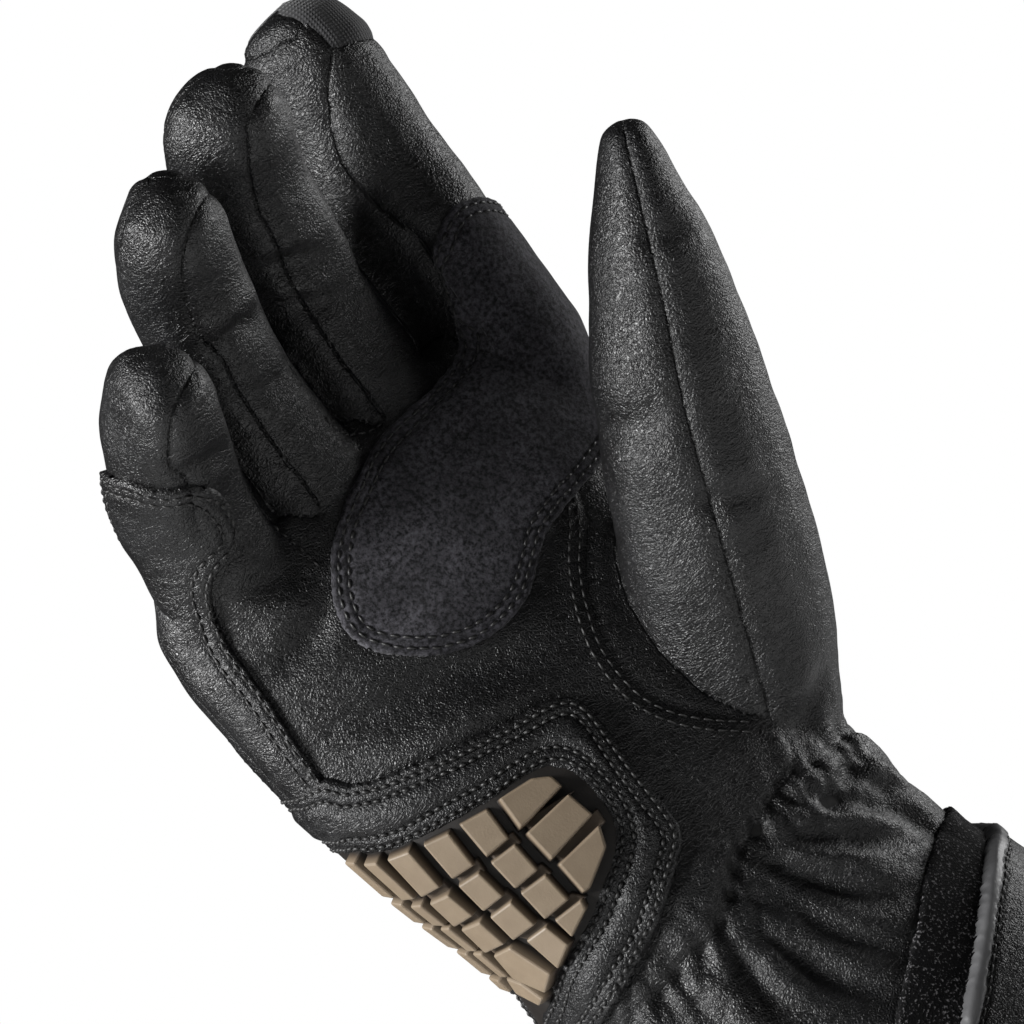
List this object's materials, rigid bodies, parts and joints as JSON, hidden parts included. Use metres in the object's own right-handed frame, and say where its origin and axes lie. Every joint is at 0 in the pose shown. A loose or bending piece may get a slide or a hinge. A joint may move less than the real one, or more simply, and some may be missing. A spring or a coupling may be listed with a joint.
{
  "type": "motorcycle glove",
  "caption": "Right-hand black leather motorcycle glove with a flared, strapped cuff, a suede palm patch, a blocked rubber palm slider and curled fingers, hollow and open at the cuff.",
  "frame": {"origin": "centre of the cuff's opening at the rim's level, where the hand goes in", "axes": "+Z from the rim to the fingertips, +X to the thumb's side, -Y out of the palm"},
  "size_m": [0.1212, 0.117, 0.2564],
  "materials": {
    "leather": "fine-grained, semi-matt",
    "suede": "napped synthetic suede",
    "textile": "fine touchscreen cloth",
    "slider_rubber": "matt moulded",
    "loop_strip": "loop pile",
    "binding_tape": "smooth folded tape"
  },
  "bodies": {
    "root": {"palm_panel": "leather", "back_panel": "leather", "index_outer_wall": "leather", "middle_thumb_wall": "leather", "middle_outer_wall": "leather", "ring_thumb_wall": "leather", "ring_outer_wall": "leather", "little_thumb_wall": "leather", "index_tip_cap": "textile", "thumb_palm_half": "leather", "thumb_back_half": "leather", "suede_palm_patch": "suede", "outer_edge_panel": "leather", "slider_surround": "leather", "palm_slider": "slider_rubber", "cuff_palm_panel": "leather", "cuff_back_panel": "leather", "cuff_hem": "leather", "fastening_strip": "loop_strip", "closure_flap": "leather", "flap_binding": "binding_tape"}
  },
  "joints": []
}
